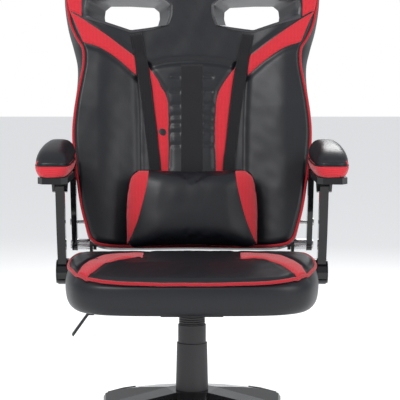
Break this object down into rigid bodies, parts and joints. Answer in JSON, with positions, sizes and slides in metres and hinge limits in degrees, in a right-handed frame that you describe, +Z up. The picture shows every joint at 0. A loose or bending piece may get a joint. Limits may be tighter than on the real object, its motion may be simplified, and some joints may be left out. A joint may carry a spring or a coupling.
{
  "type": "gaming chair",
  "caption": "High-back reclining gaming chair with winged back, head slots, lumbar pillow, linked armrests, gas lift column and five-arm caster base.",
  "frame": {"origin": "on the floor, under the axis of the gas column", "axes": "+Z up, -Y the way the sitter faces, +X to the sitter's left"},
  "size_m": [0.628, 0.7373, 1.2229],
  "materials": {
    "leather": "semi-matt coated leather with fine grain",
    "red_mesh": "coarse woven red mesh fabric",
    "red_piping": "red fabric-covered piping",
    "black_mesh": "black spacer mesh",
    "webbing": "ribbed black webbing",
    "gloss_black": "gloss black lacquer",
    "gloss_nylon": "polished black moulding",
    "nylon": "satin black moulding",
    "matte_cover": "matt dark grey moulding",
    "textured_grip": "coarse textured grey insert",
    "bezel_grey": "satin grey moulding",
    "black_steel": "black powder coat",
    "steel": "bright zinc",
    "chrome": "polished"
  },
  "bodies": {
    "base": {"base_star": "gloss_nylon", "foot_pads": "textured_grip", "caster_sockets": "steel", "column_tube": "black_steel", "column_bush": "nylon", "lower_cover": "matte_cover", "thrust_bearing": "steel"},
    "caster_1": {"caster_1_hood": "gloss_nylon", "caster_1_pins": "steel"},
    "wheels_1": {"caster_1_wheels": "nylon"},
    "caster_2": {"caster_2_hood": "gloss_nylon", "caster_2_pins": "steel"},
    "wheels_2": {"caster_2_wheels": "nylon"},
    "caster_3": {"caster_3_hood": "gloss_nylon", "caster_3_pins": "steel"},
    "wheels_3": {"caster_3_wheels": "nylon"},
    "caster_4": {"caster_4_hood": "gloss_nylon", "caster_4_pins": "steel"},
    "wheels_4": {"caster_4_wheels": "nylon"},
    "caster_5": {"caster_5_hood": "gloss_nylon", "caster_5_pins": "steel"},
    "wheels_5": {"caster_5_wheels": "nylon"},
    "mid_sleeve": {"mid_cover": "matte_cover"},
    "piston": {"piston_rod": "chrome"},
    "seat": {"gas_cylinder": "black_steel", "top_cover": "matte_cover", "swivel_plate": "black_steel", "seat_frame": "black_steel", "seat_webbing": "webbing", "seat_cushion": "leather", "arm_hub_left": "gloss_black", "arm_hub_right": "gloss_black", "hub_cap_left": "gloss_black", "hub_cap_right": "gloss_black", "recline_bracket_left": "black_steel", "recline_bracket_right": "black_steel", "release_pin": "steel"},
    "gas_lever": {"gas_cam": "steel"},
    "gas_paddle": {"lever_rod": "steel", "lever_paddle": "nylon"},
    "backrest": {"back_frame": "black_steel", "back_cushion": "leather", "back_cover": "leather", "hole_bezel_left": "bezel_grey", "hole_bezel_right": "bezel_grey", "strap_left": "webbing", "strap_right": "webbing", "rear_strut_left": "gloss_black", "rear_strut_right": "gloss_black", "recline_pins": "steel", "strut_bolts": "steel"},
    "pillow": {"lumbar_pillow": "leather"},
    "front_strut_l": {"front_strut_left": "gloss_black"},
    "front_strut_r": {"front_strut_right": "gloss_black"},
    "armrest_l": {"arm_shell_left": "gloss_black", "arm_pad_left": "leather"},
    "armrest_r": {"arm_shell_right": "gloss_black", "arm_pad_right": "leather"},
    "release": {"recline_lever": "steel", "recline_grip": "nylon"}
  },
  "joints": [
    {"name": "caster_1_swivel", "type": "hinge", "parent": "base", "child": "caster_1", "pos_m": [0, -0.3, 0.06], "axis": [0, 0, 1], "continuous": true},
    {"name": "wheels_1_roll", "type": "hinge", "parent": "caster_1", "child": "wheels_1", "pos_m": [0, -0.282, 0.025], "axis": [1, 0, 0], "continuous": true},
    {"name": "caster_2_swivel", "type": "hinge", "parent": "base", "child": "caster_2", "pos_m": [0.28532, -0.0927, 0.06], "axis": [0, 0, 1], "continuous": true},
    {"name": "wheels_2_roll", "type": "hinge", "parent": "caster_2", "child": "wheels_2", "pos_m": [0.28532, -0.0747, 0.025], "axis": [1, 0, 0], "continuous": true},
    {"name": "caster_3_swivel", "type": "hinge", "parent": "base", "child": "caster_3", "pos_m": [0.17634, 0.24271, 0.06], "axis": [0, 0, 1], "continuous": true},
    {"name": "wheels_3_roll", "type": "hinge", "parent": "caster_3", "child": "wheels_3", "pos_m": [0.17634, 0.26071, 0.025], "axis": [1, 0, 0], "continuous": true},
    {"name": "caster_4_swivel", "type": "hinge", "parent": "base", "child": "caster_4", "pos_m": [-0.17634, 0.24271, 0.06], "axis": [0, 0, 1], "continuous": true},
    {"name": "wheels_4_roll", "type": "hinge", "parent": "caster_4", "child": "wheels_4", "pos_m": [-0.17634, 0.26071, 0.025], "axis": [1, 0, 0], "continuous": true},
    {"name": "caster_5_swivel", "type": "hinge", "parent": "base", "child": "caster_5", "pos_m": [-0.28532, -0.0927, 0.06], "axis": [0, 0, 1], "continuous": true},
    {"name": "wheels_5_roll", "type": "hinge", "parent": "caster_5", "child": "wheels_5", "pos_m": [-0.28532, -0.0747, 0.025], "axis": [1, 0, 0], "continuous": true},
    {"name": "seat_swivel", "type": "hinge", "parent": "base", "child": "piston", "pos_m": [0, 0, 0.075], "axis": [0, 0, 1], "continuous": true},
    {"name": "seat_lift", "type": "slide", "parent": "piston", "child": "seat", "axis": [0, 0, 1], "range_m": [-0.043, 0.055]},
    {"name": "sleeve_follow", "type": "slide", "parent": "base", "child": "mid_sleeve", "axis": [0, 0, 1], "range_m": [-0.0215, 0.0275]},
    {"name": "gas_lever_lift", "type": "hinge", "parent": "seat", "child": "gas_lever", "pos_m": [-0.044, -0.02, 0.324], "axis": [0, 1, 0], "range_deg": [0, 4.5], "stiffness_Nm_per_rad": 2, "springref_deg": -11.46},
    {"name": "lever_pull", "type": "slide", "parent": "gas_lever", "child": "gas_paddle", "axis": [-1, 0, 0], "range_m": [0, 0.012]},
    {"name": "recline", "type": "hinge", "parent": "seat", "child": "backrest", "pos_m": [0, 0.23, 0.432], "axis": [-1, 0, 0], "range_deg": [0, 40]},
    {"name": "pillow_slide", "type": "slide", "parent": "backrest", "child": "pillow", "axis": [0, 0.1908, 0.9816], "range_m": [0, 0.1]},
    {"name": "front_strut_l_swing", "type": "hinge", "parent": "seat", "child": "front_strut_l", "pos_m": [0.27, 0.04, 0.397], "axis": [-1, 0, 0], "range_deg": [0, 40]},
    {"name": "front_strut_r_swing", "type": "hinge", "parent": "seat", "child": "front_strut_r", "pos_m": [-0.27, 0.04, 0.397], "axis": [-1, 0, 0], "range_deg": [0, 40]},
    {"name": "armrest_l_level", "type": "hinge", "parent": "backrest", "child": "armrest_l", "pos_m": [0.262, 0.17, 0.616], "axis": [1, 0, 0], "range_deg": [0, 40]},
    {"name": "armrest_r_level", "type": "hinge", "parent": "backrest", "child": "armrest_r", "pos_m": [-0.262, 0.17, 0.616], "axis": [1, 0, 0], "range_deg": [0, 40]},
    {"name": "release_pull", "type": "hinge", "parent": "seat", "child": "release", "pos_m": [-0.23, 0.236, 0.394], "axis": [-1, 0, 0], "range_deg": [0, 20], "stiffness_Nm_per_rad": 0.6, "springref_deg": -20.05}
  ],
  "couplings": [
    {"joint": "sleeve_follow", "follows": "seat_lift", "ratio": 0.5},
    {"joint": "front_strut_l_swing", "follows": "recline", "ratio": 1},
    {"joint": "front_strut_r_swing", "follows": "recline", "ratio": 1},
    {"joint": "armrest_l_level", "follows": "recline", "ratio": 1},
    {"joint": "armrest_r_level", "follows": "recline", "ratio": 1}
  ]
}
